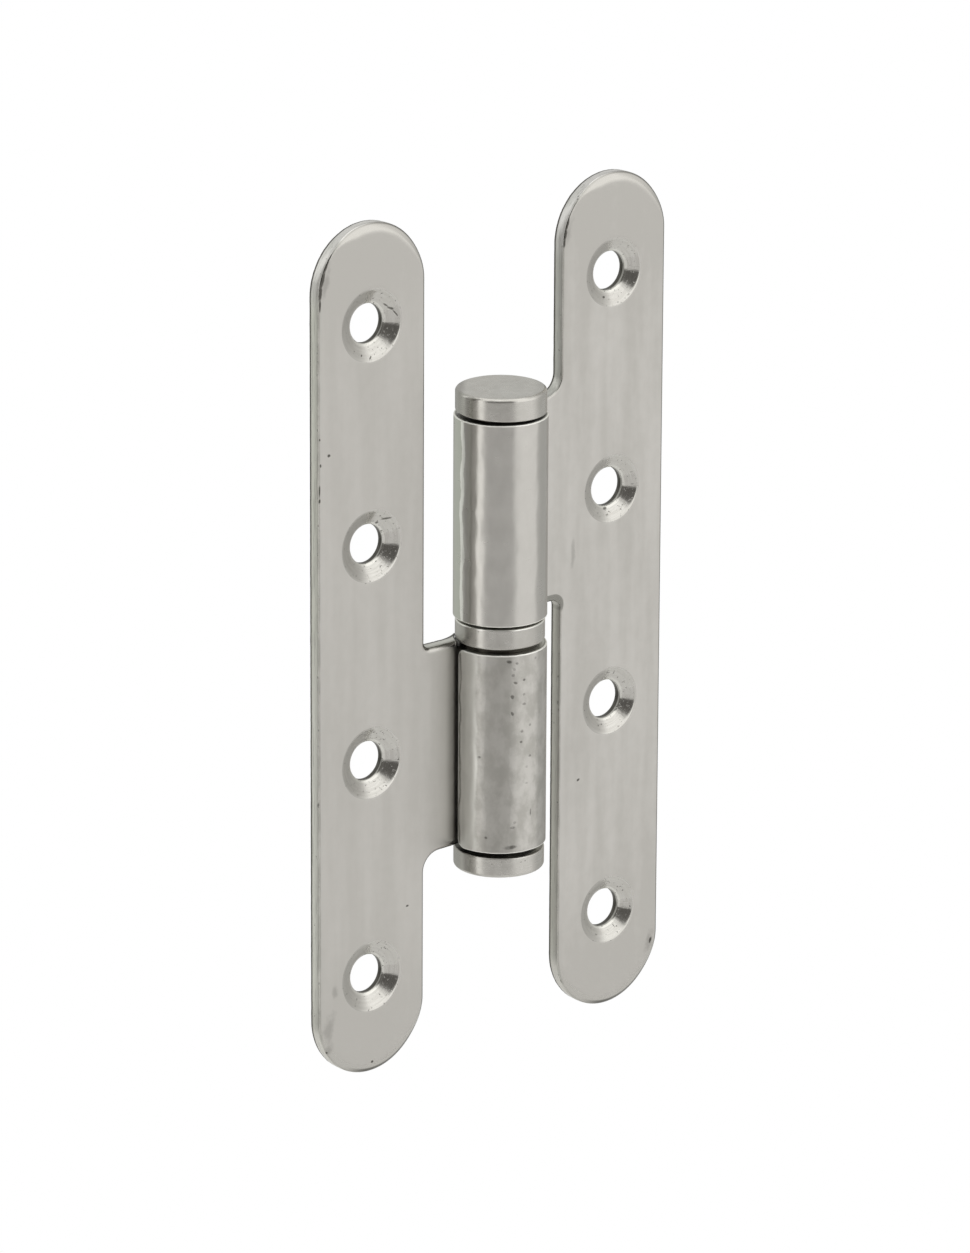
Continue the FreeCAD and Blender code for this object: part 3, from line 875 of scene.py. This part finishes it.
def turned_piece(name, profile):
    """A closed turned piece from its outline as (radius, height) pairs.

    The outline starts and ends on the axis or else closes on itself.
    """
    on_axis = profile[0][0] == 0
    rows = profile[1:-1] if on_axis else profile
    places, faces = [], []
    for radius, height in rows:
        places += circle((0, 0), radius, height, TURNED_STEPS)
    for j in range(len(rows) - 1 if on_axis else len(rows)):
        faces += band(j * TURNED_STEPS, (j + 1) % len(rows) * TURNED_STEPS, TURNED_STEPS)
    if on_axis:
        for (radius, height), row in ((profile[0], 0), (profile[-1], len(rows) - 1)):
            first = row * TURNED_STEPS
            for k in range(TURNED_STEPS):
                faces.append((first + k, first + (k + 1) % TURNED_STEPS, len(places)))
            places.append((0, 0, height))
    mesh = bpy.data.meshes.new(name)
    mesh.from_pydata([[value * MM for value in place] for place in places], [], faces)
    face_outward(mesh)
    grain = mesh.uv_layers.new(name="grain")
    for polygon in mesh.polygons:
        polygon.use_smooth = True
        for loop_index, vertex in zip(polygon.loop_indices, polygon.vertices):
            x, y, z = mesh.vertices[vertex].co / MM
            grain.data[loop_index].uv = (math.hypot(x, y) - z, math.atan2(y, x))
    return put_in_scene(name, mesh)


def eased(profile):
    """The outline with each corner (radius, height, rounding) turned into a short arc."""
    found = []
    count = len(profile)
    for k, (radius, height, rounding) in enumerate(profile):
        here = np.array([radius, height])
        if rounding == 0:
            found.append((radius, height))
            continue
        before = np.array(profile[k - 1][:2])
        after = np.array(profile[(k + 1) % count][:2])
        first = (before - here) / np.linalg.norm(before - here)
        last = (after - here) / np.linalg.norm(after - here)
        half = math.acos(np.clip(first @ last, -1, 1)) / 2
        reach = rounding / math.tan(half)
        centre = here + (first + last) / np.linalg.norm(first + last) * rounding / math.sin(half)
        start, end = here + first * reach - centre, here + last * reach - centre
        turn = math.acos(np.clip(start @ end / rounding ** 2, -1, 1))
        steps = max(2, round(turn / math.radians(12)))
        for j in range(steps + 1):
            share = j / steps
            mix = (math.sin((1 - share) * turn) * start + math.sin(share * turn) * end) / math.sin(turn)
            found.append(tuple(centre + mix))
    return found


TURNED_COLOUR = (0.62, 0.607, 0.575, 1)
TURNED_DARK = (0.575, 0.562, 0.53, 1)
# Near-black painted on faces in a gap, as shade.
GAP_SHADE_COLOUR = (0.05, 0.047, 0.040, 1)


def turned_steel(name, seed, roughest, groove, gap_shade_within=0.0, shaded_sides=(), highlight_at=None):
    """Turned steel: rings from the tool, a few handling marks, and faces in a gap painted black as shade.

    groove is how deep the rings are, in microns. Each side with painted shade is given as its direction
    in degrees, from and to which distance it fades in that way, and how dark it is. The last argument is
    the height of a corner with a painted highlight.
    """
    finish = Finish(name)
    place = finish.put("Mapping", {"Vector": finish.put("TexCoord", {}, "Object"), "Scale": (1 / MM,) * 3})
    x, y, z = finish.split(place)
    radius = finish.length(finish.vector(x, y, 0.0))
    rings = finish.noise(finish.vector(radius, z, 0.0), (9.0, 9.0, 1.0), 3.0, seed=seed)
    mottle = finish.noise(place, (0.6, 0.6, 0.6), 4.0, 0.6, seed)
    marks = finish.between(finish.noise(place, (1.6, 1.6, 3.0), 2.0, 0.5, seed + 7), 0.72, 0.78)
    shade = finish.mixed(finish.between(mottle, 0.35, 0.65), TURNED_COLOUR, TURNED_DARK)
    shade = finish.laid(shade, PIT_AND_SHADE_COLOUR, marks, 0.5)
    # Painted shade on each given side.
    for direction, clean, dark, amount in shaded_sides:
        east, north = math.cos(math.radians(direction)), math.sin(math.radians(direction))
        that_way = finish.plus(finish.times(x, east), finish.times(y, north))
        shade = finish.laid(shade, PIT_AND_SHADE_COLOUR, finish.between(that_way, clean, dark), amount)
    # A painted highlight along one corner.
    if highlight_at is not None:
        off_corner = finish.math("ABSOLUTE", finish.math("SUBTRACT", z, highlight_at))
        shade = finish.laid(shade, HIGHLIGHT_COLOUR, finish.between(off_corner, 0.22, 0.08), 0.8)
    # Faces that lie in a gap are painted black as shade.
    if gap_shade_within:
        inside = finish.between(radius, gap_shade_within, gap_shade_within - 0.06)
        facing_in = finish.between(finish.math("ABSOLUTE", z), KNUCKLE_FAR + 1.0, KNUCKLE_FAR + 0.7)
        shade = finish.laid(shade, GAP_SHADE_COLOUR, inside, facing_in)
    roughness = finish.between(finish.plus(rings, mottle), 0.6, 1.4, roughest - 0.08, roughest)
    finish.wear(shade, roughness, finish.relief((rings, groove), (mottle, 12), (marks, -15)))
    finish.grained(0.75)
    return finish.material


pin_low, pin_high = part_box("hinge_pin")
pin_top, pin_bottom = pin_high.z / MM, pin_low.z / MM
pin = turned_piece("ground_hinge_pin", eased([
    (0, pin_top, 0),
    (PIN_RADIUS - 0.06, pin_top, 1.6),
    (PIN_RADIUS - 0.06, -KNUCKLE_NEAR - 0.25, 0.1),
    (PIN_RADIUS + 0.01, -KNUCKLE_NEAR - 0.5, 0.1),
    (PIN_RADIUS + 0.01, pin_bottom + 0.5, 0.1),
    (PIN_RADIUS - 0.5, pin_bottom, 0.1),
    (0, pin_bottom, 0),
]))
pin.data.materials.append(turned_steel("ground_pin_steel", 21.0, roughest=0.24, groove=0.8))
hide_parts("hinge_pin")
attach(pin, "frame_side")

# Bearing ring
# A turned ring that lies loose on the pin between the knuckles. Its thrust faces stand proud of
# its rim, so a dark groove shows above and below the rim, and they are painted black as shade. It
# turns with the upper leaf.
RING_RADIUS = 7.15
RIM_TOP = 1.83
RIM_BOTTOM = -1.58
THRUST_RADIUS = 6.35
RING_BORE = 5.02
half_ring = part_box("bearing_ring")[1].z / MM
ring = turned_piece("turned_bearing_ring", eased([
    (RING_BORE, half_ring, 0.1),
    (THRUST_RADIUS, half_ring, 0.1),
    (THRUST_RADIUS, RIM_TOP, 0.08),
    (RING_RADIUS, RIM_TOP, 0.26),
    (RING_RADIUS, RIM_BOTTOM, 0.36),
    (THRUST_RADIUS, RIM_BOTTOM, 0.08),
    (THRUST_RADIUS, -half_ring, 0.1),
    (RING_BORE, -half_ring, 0.1),
]))
# Painted shade on the ring's left side, and less on its right.
RING_SIDE_SHADE = ((140, 3.9, 6.2, 0.24), (-40, 1.6, 3.2, 0.14))
ring.data.materials.append(turned_steel(
    "turned_ring_steel", 31.0, roughest=0.34, groove=1.2,
    gap_shade_within=THRUST_RADIUS + 0.12, shaded_sides=RING_SIDE_SHADE, highlight_at=RIM_TOP - 0.1,
))
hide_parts("bearing_ring")
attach(ring, "ring")

# End caps
# Two turned discs, each with a spigot that is pressed into the end of a knuckle's bore. They stop
# short of the knuckle, which leaves a dark gap under the rim, and the faces in that gap are painted
# black as shade. Neither rim is quite square.
CAP_RADIUS = 7.25
SPIGOT_RADIUS = 5.01
ASKEW_TOWARDS = math.radians(-40)
# Painted shade on the cap's left side, and less on its right.
CAP_SIDE_SHADE = ((140, 5.2, 6.6, 0.38), (-40, 4.8, 6.3, 0.16))


def end_cap(name, node, body, side, seed, gap, askew):
    """One cap. askew is how much further its rim stands off the knuckle on the one side."""
    low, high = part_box(node)
    outer, inner = (high.z / MM, low.z / MM) if side > 0 else (low.z / MM, high.z / MM)
    under = (KNUCKLE_FAR + gap) * side
    cap = turned_piece(name, eased([
        (0, outer, 0),
        (CAP_RADIUS, outer, 0.6),
        (CAP_RADIUS, under, 0.2),
        (SPIGOT_RADIUS, under, 0.08),
        (SPIGOT_RADIUS, inner + 0.4 * side, 0.08),
        (SPIGOT_RADIUS - 0.4, inner, 0.08),
        (0, inner, 0),
    ]))
    for vertex in cap.data.vertices:
        x, y, z = vertex.co / MM
        if math.hypot(x, y) > SPIGOT_RADIUS + 0.1 and abs(z - under) < 0.5:
            aside = (x * math.cos(ASKEW_TOWARDS) + y * math.sin(ASKEW_TOWARDS)) / CAP_RADIUS
            vertex.co.z -= askew * aside * MM
    cap.data.materials.append(turned_steel(
        name + "_steel", seed, roughest=0.33, groove=1.0,
        gap_shade_within=CAP_RADIUS - 0.15, shaded_sides=CAP_SIDE_SHADE,
    ))
    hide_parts(node)
    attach(cap, body)


end_cap("turned_top_cap", "top_cap", "door_side", 1, 41.0, gap=0.5, askew=0.2)
end_cap("turned_bottom_cap", "bottom_cap", "frame_side", -1, 51.0, gap=0.85, askew=0.1)

# Camera
# It looks down a little on the countersunk faces from the lower leaf's side, through a long lens.
CAMERA_TURN = 39.446
CAMERA_HEIGHT = 18.187
CAMERA_ROLL = 0.281
CAMERA_DISTANCE = 1.259
FOCAL_PIXELS = 7950.5
AXIS_PIXEL = (499.9, 627.4)
PHOTO_WIDTH, PHOTO_HEIGHT = 970, 1253
SENSOR = 36.0

turn, tilt, roll = (math.radians(a) for a in (CAMERA_TURN, CAMERA_HEIGHT, CAMERA_ROLL))
forward = Vector((math.sin(turn) * math.cos(tilt), math.cos(turn) * math.cos(tilt), -math.sin(tilt)))
level = Vector((math.cos(turn), -math.sin(turn), 0))
upward = level.cross(forward)
rightward = math.cos(roll) * level + math.sin(roll) * upward
above = -math.sin(roll) * level + math.cos(roll) * upward
shifted = (AXIS_PIXEL[0] - PHOTO_WIDTH / 2) / FOCAL_PIXELS * CAMERA_DISTANCE
lifted = -(AXIS_PIXEL[1] - PHOTO_HEIGHT / 2) / FOCAL_PIXELS * CAMERA_DISTANCE
lens = bpy.data.cameras.new("camera")
lens.lens = FOCAL_PIXELS * SENSOR / PHOTO_HEIGHT
lens.sensor_width = SENSOR
camera = bpy.data.objects.new("camera", lens)
camera.location = -(forward * CAMERA_DISTANCE + rightward * shifted + above * lifted)
camera.rotation_euler = Matrix((rightward, above, -forward)).transposed().to_euler()
bpy.context.scene.collection.objects.link(camera)
bpy.context.scene.camera = camera

# Studio
# A round white table well below the hinge, in a pale grey room with soft lights to both sides and
# overhead. The darker room in front draws the bands that run up the knuckles. The camera sees white.
TABLE_DROP = 0.30
TABLE_RADIUS = 0.45
TABLE_STEPS = 96

table_mesh = bpy.data.meshes.new("table")
rim = circle((0, 0), TABLE_RADIUS, -TABLE_DROP, TABLE_STEPS)
table_mesh.from_pydata(rim, [], [list(range(TABLE_STEPS))])
table = bpy.data.objects.new("table", table_mesh)
bpy.context.scene.collection.objects.link(table)
paint = bpy.data.materials.new("white_table")
paint.use_nodes = True
matt = Nodes(paint.node_tree)
chalk = matt.put("BsdfDiffuse", {"Color": (0.85, 0.85, 0.85, 1)})
white = matt.put("Emission", {"Strength": 1.12})
to_camera = matt.times(matt.put("LightPath", {}, "Is Camera Ray"), 0.7)
matt.show("OutputMaterial", matt.put("MixShader", {0: to_camera, 1: chalk, 2: white}))
table_mesh.materials.append(paint)

# Each panel of the room runs round the hinge from its left to its right edge, in degrees from the
# camera's side, and from its lower to its upper edge. After each edge comes how soft it is.
ROOM = (0.62, 0.62, 0.60)
PANELS = {
    "table": (-115, 8, 100, 16, -91, 1, -24, 5, (0.78, 0.77, 0.755)),
    "far left": (-150, 4, -98, 6, -60, 8, 40, 8, (0.62, 0.63, 0.595)),
    "dark behind": (160, 6, 208, 6, -91, 1, 2, 6, (0.44, 0.44, 0.42)),
    "wall behind": (150, 10, 210, 10, 8, 6, 56, 6, (0.66, 0.66, 0.64)),
    "right wall": (34, 12, 106, 14, -91, 1, 62, 5, (0.80, 0.79, 0.775)),
    "right light": (38, 8, 98, 7, -8, 7, 60, 7, (1.27, 1.26, 1.23)),
    "edge of the right light": (93, 8, 122, 9, 3, 6, 60, 7, (0.95, 0.94, 0.915)),
    "left light": (-76, 2.5, -38, 10, -70, 5, 62, 5, (1.25, 1.235, 1.20)),
    "table in front": (-42, 9, 33, 9, -40, 6, -7, 2, (0.70, 0.69, 0.675)),
    "dark front": (-42, 9, 33, 4, -9, 2, 42, 3, (0.13, 0.125, 0.118)),
    "dark gap": (-102, 3, -76, 2.5, -60, 10, 45, 3, (0.27, 0.263, 0.25)),
    "back left light": (-113, 4, -99, 4, 4, 6, 42, 5, (1.2, 1.2, 1.17)),
    "overhead": (-181, 1, 181, 1, 56, 6, 91, 1, (1.3, 1.29, 1.26)),
}
world = bpy.data.worlds.new("studio")
world.use_nodes = True
bpy.context.scene.world = world
studio = Nodes(world.node_tree)
east, north, height = studio.split(studio.put("TexCoord", {}, "Generated"))
towards = studio.plus(studio.times(east, -math.sin(turn)), studio.times(north, -math.cos(turn)))
sideways = studio.plus(studio.times(east, math.cos(turn)), studio.times(north, -math.sin(turn)))
around = studio.math("DEGREES", studio.math("ARCTAN2", sideways, towards))
rise = studio.math("DEGREES", studio.math("ARCSINE", height))
tone = (*ROOM, 1)
for left, left_soft, right, right_soft, foot, foot_soft, top, top_soft, colour in PANELS.values():
    middle = (left + right) / 2
    away = studio.math("WRAP", studio.math("SUBTRACT", around, middle), 180.0, -180.0)
    share = studio.between(away, left - middle - left_soft, left - middle + left_soft)
    other_edges = (
        (right - middle, away, -right_soft), (foot, rise, foot_soft), (top, rise, -top_soft),
    )
    for edge, value, soft in other_edges:
        share = studio.times(share, studio.between(value, edge - soft, edge + soft))
    tone = studio.mixed(share, tone, (*colour, 1))
room = studio.put("Background", {"Color": tone})
backdrop = studio.put("Background", {"Color": (1, 1, 1, 1)})
straight_on = studio.put("LightPath", {}, "Is Camera Ray")
seen = studio.larger(straight_on, studio.put("LightPath", {}, "Is Transmission Ray"))
studio.show("OutputWorld", studio.put("MixShader", {0: seen, 1: room, 2: backdrop}))
bpy.context.scene.view_settings.view_transform = "Standard"
